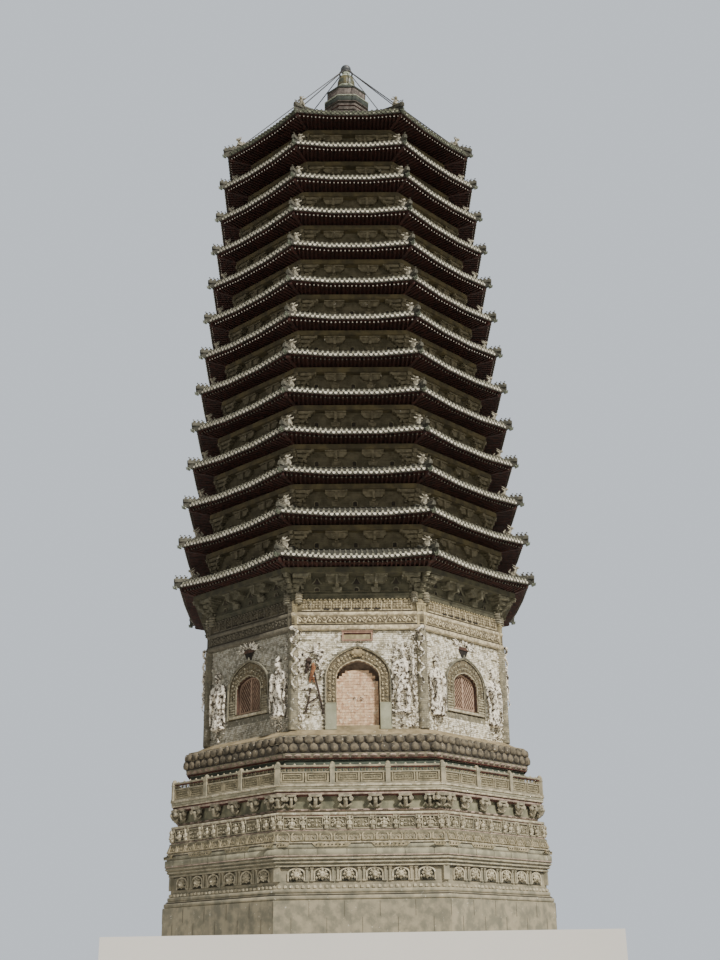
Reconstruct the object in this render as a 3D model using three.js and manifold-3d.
// A 1:10 scale model of an octagonal brick pagoda with thirteen close-set eaves on a tall carved base.
// Units are millimetres of the model, +Z is up, and the origin is the centre of the base on the ground.
// The doors and windows are blind: they are stone and brick panels let into solid masonry.

import * as THREE from "three";
import { mergeVertices } from "three/addons/utils/BufferGeometryUtils.js";
import Module from "manifold-3d";

// The plan is a regular octagon with a side facing -Y. "Reach" is the distance from the axis to a side.
const SIDES = 8;
const SIDE_TURN = (2 * Math.PI) / SIDES;
const HALF_SIDE_TURN = SIDE_TURN / 2;
const CORNER_STRETCH = 1 / Math.cos(HALF_SIDE_TURN);
const UP = new THREE.Vector3(0, 0, 1);
const JOINT = 0.3; // open joint between pieces that rest on or in each other

// Eaves: the lowest and the rule that the others follow
const EAVES = 13;
const FIRST_EAVE_REACH = 847;
const EAVE_TAPER = 13.5;
const EAVE_TAPER_GROWTH = 0.07;
const FIRST_EAVE_HEIGHT = 1590;
const EAVE_SPACING = 207.5;
const EAVE_SPACING_GROWTH = 0.33;
const CORNER_LIFT = 21;
const LIFT_POWER = 2.5;

// One eave, measured from the middle of its edge tiles' faces
const TILE_EDGE_RISE = 14;
const TILE_EDGE_DROP = 10;
const RAFTER_DEPTH = 17;
const RAFTER_SETBACK = 13;
const RAFTER_SLOPE = Math.tan(THREE.MathUtils.degToRad(16));
const ROOF_RISE = 88;
const ROOF_SAG = 7;
const BEAM_REACH_SHARE = 0.876;
const BEAM_SHARE_TAPER = 0.002;
const FIRST_BEAM_REACH = 780;
const BEAM_DEPTH = 24;
const BEAM_DROP = 17; // round rafters under the flying ones
const BEAM_OVER_WALL = 41;
const BRACKET_DEPTH = 62;
const BRACKET_STEPS = [8, 20, 33];

// The two top eaves overhang further, and the top roof runs up steeply to the finial
const WIDE_EAVES_FROM = 11;
const WIDE_OVERHANG = 28;
const TOP_ROOF_SAG = 16;

// Hip ridges, and the dragon-head beam end that each corner runs out into
const RIDGE = { width: 15, height: 11 };
const DRAGON_HEAD = 27;

// Body
const WALL_REACH = 697;
const WALL_FOOT = 843;
const WALL_TOP = 1290;
const COLUMN_RADIUS = 21;
const COLUMN_INSET = 4;
const FRIEZE_TOP = 1470;

// Blind doors and windows: half widths, heights and depths
const DOOR = { half: 147, foot: 863, spring: 1074, apex: 1212, openHalf: 95, openFoot: 875, openApex: 1141 };
const WINDOW = { half: 141, foot: 940, spring: 1075, apex: 1206, openHalf: 82, openFoot: 965, openApex: 1130 };
const SURROUND_PROUD = 12;
const PANEL_SETBACK = 34;
const PANEL_BACK = 60;
const SILL_PROUD = 30;
const SILL_DEPTH = 18;
const SILL_EXTRA = 14;

// Base
const PLATFORM_REACH = 866;
const BALUSTRADE = { foot: 592, top: 674, postTop: 683, reach: 845, thickness: 15 };
const POST_SIZE = 22;
const THRONE_REACH = 769;
const BALCONY_TOP = 592;

// Finial
const BULB_RADIUS = 53;
const BALL_RADIUS = 31;
const FINIAL_FOOT = 4572;
const COLLAR = { reach: 64, foot: 4808, top: 4820 };
const BALL_CENTRE = 4969;
const CHAIN_RADIUS = 3;
const CHAIN_RING = { reach: 38, height: 4937, thickness: 4 };
const CHAIN_STAPLE = { size: 8, height: 16 };
const CHAIN_FOOT_SHARE = 0.87;

const wasm = await Module();
wasm.setup();

const MATERIALS = {
  stone: { color: 0x8f9184, roughness: 0.9, metalness: 0 },
  brick: { color: 0xa9a393, roughness: 0.95, metalness: 0 },
  carved: { color: 0xb5aa86, roughness: 0.9, metalness: 0 },
  infill: { color: 0xb58f78, roughness: 0.95, metalness: 0 },
  timber: { color: 0x4a2c27, roughness: 0.8, metalness: 0 },
  tile: { color: 0x6f7468, roughness: 0.7, metalness: 0 },
  gilt: { color: 0xa08347, roughness: 0.45, metalness: 1 },
  iron: { color: 0x3a3a3c, roughness: 0.6, metalness: 1 },
};

const pagoda = new THREE.Group();
pagoda.name = "pagoda";

function addPiece(name, geometry, finish) {
  const piece = new THREE.Mesh(geometry, new THREE.MeshStandardMaterial(MATERIALS[finish]));
  piece.name = name;
  pagoda.add(piece);
  return piece;
}

// A geometry as a solid that can be joined and cut, and back again
function solid(geometry) {
  const plain = geometry.clone();
  plain.deleteAttribute("normal");
  plain.deleteAttribute("uv");
  const merged = mergeVertices(plain, 1e-3);
  const vertProperties = Float32Array.from(merged.getAttribute("position").array);
  const triVerts = Uint32Array.from(merged.index.array);
  return new wasm.Manifold(new wasm.Mesh({ numProp: 3, vertProperties, triVerts }));
}

function geometryOf(body) {
  const mesh = body.getMesh();
  const geometry = new THREE.BufferGeometry();
  geometry.setAttribute("position", new THREE.BufferAttribute(mesh.vertProperties, 3));
  geometry.setIndex(new THREE.BufferAttribute(mesh.triVerts, 1));
  const flat = geometry.toNonIndexed();
  flat.computeVertexNormals();
  return flat;
}

// An octagonal body from a profile of [reach, height] points, listed from the bottom up
function octagonal(profile) {
  const points = profile.map(([reach, height]) => new THREE.Vector2(reach * CORNER_STRETCH, height));
  return new THREE.LatheGeometry(points, SIDES, HALF_SIDE_TURN).rotateX(Math.PI / 2);
}

// A solid of revolution about the tower's axis, from a profile of [radius, height] points
function turned(profile, segments) {
  const points = profile.map(([radius, height]) => new THREE.Vector2(radius, height));
  return new THREE.LatheGeometry(points, segments).rotateX(Math.PI / 2);
}

// Stacked octagonal courses, each [reach, height of its top], on a flat foot
function courses(foot, steps) {
  const profile = [[0, foot]];
  let height = foot;
  for (const [reach, top] of steps) {
    profile.push([reach, height], [reach, top]);
    height = top;
  }
  profile.push([0, height]);
  return octagonal(profile);
}

const eaveReach = (tier) => FIRST_EAVE_REACH - EAVE_TAPER * tier - EAVE_TAPER_GROWTH * tier * tier;
const eaveHeight = (tier) => FIRST_EAVE_HEIGHT + EAVE_SPACING * tier + EAVE_SPACING_GROWTH * tier * tier;
const sharedReach = (tier) => (BEAM_REACH_SHARE - BEAM_SHARE_TAPER * tier) * eaveReach(tier);
const overhang = (tier) => (tier < WIDE_EAVES_FROM ? 0 : WIDE_OVERHANG);
const beamReach = (tier) => (tier === 0 ? FIRST_BEAM_REACH : sharedReach(tier) - overhang(tier));
const wallReach = (tier) => beamReach(tier) - BEAM_OVER_WALL;
const rafterEnd = (tier) => eaveReach(tier) - RAFTER_SETBACK;
const rafterEndFoot = (tier) => eaveHeight(tier) - TILE_EDGE_DROP - RAFTER_DEPTH;
const flyingSeat = (tier) => rafterEndFoot(tier) + RAFTER_SLOPE * (rafterEnd(tier) - beamReach(tier));
const beamTop = (tier) => flyingSeat(tier) - BEAM_DROP;
const roofTop = (tier) => (tier === EAVES - 1 ? FINIAL_FOOT : eaveHeight(tier) + ROOF_RISE);
const roofHead = (tier) => (tier === EAVES - 1 ? FINIAL.footReach : wallReach(tier + 1));

// An octagonal layer of an eave, from profile points { reach, height, lift, ridge, tip } from the bottom up.
// Each side has five stations: its corner, the feet of the two hip ridges and two in between.
function eaveLayer(profile) {
  const points = profile.map(({ reach, height }) => new THREE.Vector2(reach, height));
  const stations = 5;
  const geometry = new THREE.LatheGeometry(points, SIDES * stations);
  const position = geometry.getAttribute("position");
  for (let i = 0; i < position.count; i++) {
    const { reach, height, lift = 0, ridge = 0, tip = 0 } = profile[i % profile.length];
    const step = Math.floor(i / profile.length);
    const half = reach * Math.tan(HALF_SIDE_TURN);
    const foot = Math.max(half - (RIDGE.width * CORNER_STRETCH) / 2, half / 2);
    const along = [-half, -foot, -half / 3, half / 3, foot][step % stations];
    const corner = step % stations === 0 ? 1 : 0;
    const rise = lift * CORNER_LIFT * (half && Math.abs(along) / half) ** LIFT_POWER + corner * ridge;
    const push = 1 + (corner * tip) / Math.max(reach * CORNER_STRETCH, 1);
    const place = new THREE.Vector3(along * push, -reach * push, height + rise);
    place.applyAxisAngle(UP, Math.floor(step / stations) * SIDE_TURN);
    position.setXYZ(i, place.x, place.y, place.z);
  }
  return solid(geometry);
}

const FINIAL = { footReach: 104, lipReach: 127, upperReach: 108 };

addPiece(
  "platform",
  courses(0, [
    [PLATFORM_REACH, 132],
    [851, 159],
    [839, 191],
    [834, 205],
  ]),
  "stone",
);

addPiece(
  "lower_waist",
  courses(205 + JOINT, [
    [832, 261],
    [842, 275],
    [850, 288],
    [857, 301],
    [863, 331],
  ]),
  "stone",
);

addPiece(
  "upper_waist",
  octagonal([
    [0, 331 + JOINT],
    [856, 331 + JOINT],
    [856, 350],
    [848, 384],
    [834, 408],
    [834, 467],
    [839, 467],
    [839, 479],
    [0, 479],
  ]),
  "stone",
);

addPiece(
  "balcony",
  courses(479 + JOINT, [
    [820, 500],
    [828, 520],
    [838, 555],
    [850, BALCONY_TOP],
  ]),
  "stone",
);

// The balustrade is a low ring of panels with square posts at its corners and along its sides
function balustradeSolid() {
  const { foot, top, postTop, reach, thickness } = BALUSTRADE;
  const bottom = foot + JOINT;
  const inner = reach - thickness;
  let body = solid(
    octagonal([
      [reach, bottom],
      [reach, top],
      [inner, top],
      [inner, bottom],
      [reach, bottom],
    ]),
  );
  const post = new THREE.BoxGeometry(POST_SIZE, POST_SIZE, postTop - bottom);
  post.translate(0, -(reach - thickness / 2), (postTop + bottom) / 2);
  const side = 2 * reach * Math.tan(HALF_SIDE_TURN);
  for (let k = 0; k < SIDES; k++) {
    for (const share of [-1 / 6, 1 / 6]) {
      const placed = post.clone().translate(share * side, 0, 0).rotateZ(k * SIDE_TURN);
      body = body.add(solid(placed));
    }
    const cornerPost = post.clone().translate(0, -(reach - thickness / 2) * (CORNER_STRETCH - 1), 0);
    body = body.add(solid(cornerPost.rotateZ((k + 0.5) * SIDE_TURN)));
  }
  return body;
}

addPiece("balustrade", geometryOf(balustradeSolid()), "stone");

addPiece(
  "lotus_throne",
  octagonal([
    [0, BALCONY_TOP + JOINT],
    [THRONE_REACH, BALCONY_TOP + JOINT],
    [THRONE_REACH, 706],
    [780, 712],
    [788, 728],
    [781, 736],
    [790, 764],
    [781, 771],
    [786, 792],
    [776, 810],
    [756, 812],
    [716, 833],
    [705, WALL_FOOT],
    [0, WALL_FOOT],
  ]),
  "stone",
);

// A pointed arch over straight jambs, as a flat outline in x and height
function archShape(half, foot, spring, apex) {
  const rise = apex - spring;
  const shape = new THREE.Shape();
  shape.moveTo(-half, foot);
  shape.lineTo(half, foot);
  shape.lineTo(half, spring);
  shape.bezierCurveTo(half, spring + 0.5 * rise, 0.55 * half, apex - 0.12 * rise, 0, apex);
  shape.bezierCurveTo(-0.55 * half, apex - 0.12 * rise, -half, spring + 0.5 * rise, -half, spring);
  return shape;
}

// An upright slab of an outline, from the reach of its back to the reach of its face, on the -Y side
function slab(shape, back, face) {
  const geometry = new THREE.ExtrudeGeometry(shape, {
    depth: face - back,
    bevelEnabled: false,
    curveSegments: 6,
  });
  return geometry.rotateX(Math.PI / 2).translate(0, -back, 0);
}

const grown = (size, by) => ({ ...size, half: size.half + by, foot: size.foot - by, apex: size.apex + by });
const outerArch = ({ half, foot, spring, apex }) => archShape(half, foot, spring, apex);
const innerArch = ({ openHalf, openFoot, spring, openApex }) => archShape(openHalf, openFoot, spring, openApex);

// The wall of the body, with a round column at each corner and a pocket for each door and window
function wallSolid() {
  let body = solid(courses(WALL_FOOT + JOINT, [[WALL_REACH, WALL_TOP]]));
  const column = new THREE.CylinderGeometry(COLUMN_RADIUS, COLUMN_RADIUS, WALL_TOP - WALL_FOOT - JOINT, 12);
  column.rotateX(Math.PI / 2);
  column.translate(0, -(WALL_REACH * CORNER_STRETCH - COLUMN_INSET), (WALL_TOP + WALL_FOOT + JOINT) / 2);
  for (let k = 0; k < SIDES; k++) {
    body = body.add(solid(column.clone().rotateZ((k + 0.5) * SIDE_TURN)));
    const size = k % 2 === 0 ? DOOR : WINDOW;
    const pocket = slab(outerArch(grown(size, JOINT)), WALL_REACH - PANEL_BACK, WALL_REACH + COLUMN_RADIUS);
    body = body.subtract(solid(pocket.rotateZ(k * SIDE_TURN)));
  }
  return body;
}

addPiece("main_wall", geometryOf(wallSolid()), "brick");

// A carved surround with its blind panel, as one insert on the -Y side
function insertSolid(size) {
  const surround = solid(slab(outerArch(size), WALL_REACH - PANEL_BACK + JOINT, WALL_REACH + SURROUND_PROUD));
  const opening = solid(slab(innerArch(size), WALL_REACH - PANEL_SETBACK, WALL_REACH + 2 * SURROUND_PROUD));
  return surround.subtract(opening);
}

// A block that stands proud of the wall under an insert, as a threshold or a sill
function ledgeSolid(half, foot, depth, proud) {
  const block = new THREE.BoxGeometry(2 * half, proud + PANEL_SETBACK, depth);
  block.translate(0, -(WALL_REACH + (proud - PANEL_SETBACK) / 2), foot + depth / 2);
  return solid(block);
}

const DOOR_NAMES = ["door_front", "door_right", "door_back", "door_left"];
const WINDOW_NAMES = ["window_front_right", "window_back_right", "window_back_left", "window_front_left"];

const door = geometryOf(insertSolid(DOOR));
DOOR_NAMES.forEach((name, k) => {
  addPiece(name, door, "infill").rotation.z = 2 * k * SIDE_TURN;
});

const sillHalf = WINDOW.half + SILL_EXTRA;
const sillSolid = ledgeSolid(sillHalf, WINDOW.foot, SILL_DEPTH, SILL_PROUD);
const wallFace = solid(
  new THREE.BoxGeometry(4 * sillHalf, 2 * WALL_REACH + 2 * JOINT, 4 * WALL_REACH),
);
const windowInsert = geometryOf(insertSolid(WINDOW).add(sillSolid.subtract(wallFace)));
WINDOW_NAMES.forEach((name, k) => {
  addPiece(name, windowInsert, "timber").rotation.z = (2 * k + 1) * SIDE_TURN;
});

addPiece(
  "frieze",
  courses(WALL_TOP + JOINT, [
    [WALL_REACH + 11, 1304],
    [WALL_REACH + 5, 1315],
    [WALL_REACH + 11, 1377],
    [WALL_REACH + 3, 1382],
    [WALL_REACH + 8, 1422],
    [WALL_REACH + 1, 1440],
    [WALL_REACH + 5, FRIEZE_TOP],
  ]),
  "carved",
);

// A storey's masonry: a plain band, corbelled bracket courses and the beam that the rafters rest on
function storeySolid(tier) {
  const top = beamTop(tier);
  const bracketTop = top - BEAM_DEPTH;
  const bracketFoot = bracketTop - BRACKET_DEPTH;
  const foot = (tier === 0 ? FRIEZE_TOP : roofTop(tier - 1)) + JOINT;
  const wall = tier === 0 ? WALL_REACH : wallReach(tier);
  const steps = tier === 0 ? [] : [[wall, bracketFoot]];
  const spread = tier === 0 ? (FIRST_BEAM_REACH - WALL_REACH) / BEAM_OVER_WALL : 1;
  BRACKET_STEPS.forEach((step, k) => {
    const courseTop = bracketFoot + (BRACKET_DEPTH * (k + 1)) / BRACKET_STEPS.length;
    steps.push([wall + step * spread, courseTop]);
  });
  steps.push([beamReach(tier), top]);
  return courses(foot, steps);
}

// The timber layer of an eave: level inside, sloping down to the rafters' ends, and cut off under its roof
function raftersSolid(tier, roof) {
  const end = rafterEnd(tier);
  const foot = rafterEndFoot(tier);
  const seat = beamTop(tier) + JOINT;
  const lift = (end - beamReach(tier)) / (eaveReach(tier) - beamReach(tier));
  const timber = eaveLayer([
    { reach: 0, height: seat },
    { reach: beamReach(tier), height: seat },
    { reach: end, height: foot, lift },
    { reach: end, height: foot + 2 * RAFTER_DEPTH, lift },
    { reach: beamReach(tier), height: flyingSeat(tier) + 2 * RAFTER_DEPTH },
    { reach: 0, height: flyingSeat(tier) + 2 * RAFTER_DEPTH },
  ]);
  return timber.subtract(roof.translate([0, 0, -JOINT])).subtract(roof.translate([0, 0, RAFTER_DEPTH / 2]));
}

// The top line of a roof over the middle of a side, as profile points from the edge inwards
function slopeLine(tier) {
  const top = { ridge: RIDGE.height };
  const edge = { ...top, reach: eaveReach(tier), height: eaveHeight(tier) + TILE_EDGE_RISE, lift: 1 };
  const head = { ...top, reach: roofHead(tier) + 1, height: roofTop(tier) };
  const reach = (edge.reach + head.reach) / 2;
  const height = (edge.height + head.height) / 2 - (tier === EAVES - 1 ? TOP_ROOF_SAG : ROOF_SAG);
  return [{ ...edge, tip: DRAGON_HEAD }, { ...top, reach, height, lift: 0.2 }, head];
}

// The top of a hip ridge at a distance from the axis, out towards the corner
function ridgeTop(tier, distance) {
  const [edge, middle, head] = slopeLine(tier).map(({ reach, height, lift = 0, tip = 0 }) => ({
    distance: reach * CORNER_STRETCH + tip,
    height: height + lift * CORNER_LIFT + RIDGE.height,
  }));
  const [outer, inner] = distance > middle.distance ? [edge, middle] : [middle, head];
  const share = (distance - outer.distance) / (inner.distance - outer.distance);
  return outer.height + share * (inner.height - outer.height);
}

// The tiled roof of an eave, laid on its rafters, with its sagging slopes and raised hips
function roofSolid(tier) {
  const end = eaveReach(tier);
  const beam = beamReach(tier);
  const bottom = flyingSeat(tier) + RAFTER_DEPTH + JOINT;
  const drop = RAFTER_SLOPE * (end - beam);
  return eaveLayer([
    { reach: 0, height: bottom },
    { reach: beam, height: bottom },
    { reach: end, height: bottom - drop, lift: 1, tip: DRAGON_HEAD },
    ...slopeLine(tier),
    { reach: roofHead(tier), height: roofTop(tier) },
    { reach: 0, height: roofTop(tier) },
  ]);
}

for (let tier = 0; tier < EAVES; tier++) {
  const number = String(tier + 1).padStart(2, "0");
  addPiece(`storey_${number}`, storeySolid(tier), "brick");
  const roof = roofSolid(tier);
  addPiece(`rafters_${number}`, geometryOf(raftersSolid(tier, roof)), "timber");
  addPiece(`roof_${number}`, geometryOf(roof), "tile");
}

// Two octagonal tiers: stepped courses up to a lip, a narrower tier, and its sloping top under a collar
addPiece(
  "finial_base",
  octagonal([
    [0, FINIAL_FOOT + JOINT],
    [FINIAL.footReach - 4, FINIAL_FOOT + JOINT],
    [FINIAL.footReach - 4, 4600],
    [FINIAL.footReach + 4, 4600],
    [FINIAL.footReach + 4, 4622],
    [FINIAL.lipReach - 11, 4622],
    [FINIAL.lipReach - 11, 4643],
    [FINIAL.lipReach, 4643],
    [FINIAL.lipReach, 4685],
    [FINIAL.upperReach, 4690],
    [FINIAL.upperReach, 4750],
    [FINIAL.upperReach + 5, 4752],
    [FINIAL.upperReach + 5, 4764],
    [COLLAR.reach - 4, COLLAR.foot - 2],
    [COLLAR.reach, COLLAR.foot],
    [COLLAR.reach, COLLAR.top],
    [0, COLLAR.top],
  ]),
  "stone",
);

addPiece(
  "finial_bulb",
  turned(
    [
      [0, COLLAR.top + JOINT],
      [50, COLLAR.top + JOINT],
      [BULB_RADIUS, COLLAR.top + 28],
      [BULB_RADIUS - 2, COLLAR.top + 54],
      [BULB_RADIUS - 12, COLLAR.top + 80],
      [28, COLLAR.top + 101],
      [20, COLLAR.top + 113],
      [BALL_RADIUS * 0.8, BALL_CENTRE - 18],
      [BALL_RADIUS, BALL_CENTRE],
      [BALL_RADIUS * 0.8, BALL_CENTRE + 18],
      [0, BALL_CENTRE + BALL_RADIUS],
    ],
    24,
  ),
  "gilt",
);

// Eight taut chains from a ring at the finial's neck down to the hips of the top roof
function chainsSolid() {
  const { reach, height, thickness } = CHAIN_RING;
  const ringProfile = [
    [reach - thickness, height - thickness],
    [reach + thickness, height - thickness],
    [reach + thickness, height + thickness],
    [reach - thickness, height + thickness],
    [reach - thickness, height - thickness],
  ];
  let body = solid(turned(ringProfile, 16));
  const top = EAVES - 1;
  const staple = CHAIN_STAPLE;
  const footDistance = CHAIN_FOOT_SHARE * eaveReach(top) * CORNER_STRETCH;
  const seat = ridgeTop(top, footDistance - staple.size / 2) + JOINT;
  const block = new THREE.BoxGeometry(staple.size, staple.size, staple.height);
  block.translate(footDistance, 0, seat + staple.height / 2);
  const start = new THREE.Vector3(reach, 0, height);
  const finish = new THREE.Vector3(footDistance, 0, seat + staple.height / 2);
  const run = finish.clone().sub(start);
  const chain = new THREE.CylinderGeometry(CHAIN_RADIUS, CHAIN_RADIUS, run.length(), 6);
  const upright = new THREE.Vector3(0, 1, 0);
  chain.applyQuaternion(new THREE.Quaternion().setFromUnitVectors(upright, run.clone().normalize()));
  chain.translate(...start.add(finish).multiplyScalar(0.5).toArray());
  const stay = solid(chain).add(solid(block));
  for (let k = 0; k < SIDES; k++) {
    body = body.add(stay.rotate([0, 0, (k + 0.5) * THREE.MathUtils.radToDeg(SIDE_TURN)]));
  }
  return body;
}

addPiece("finial_chains", geometryOf(chainsSolid()), "iron");

export default pagoda;
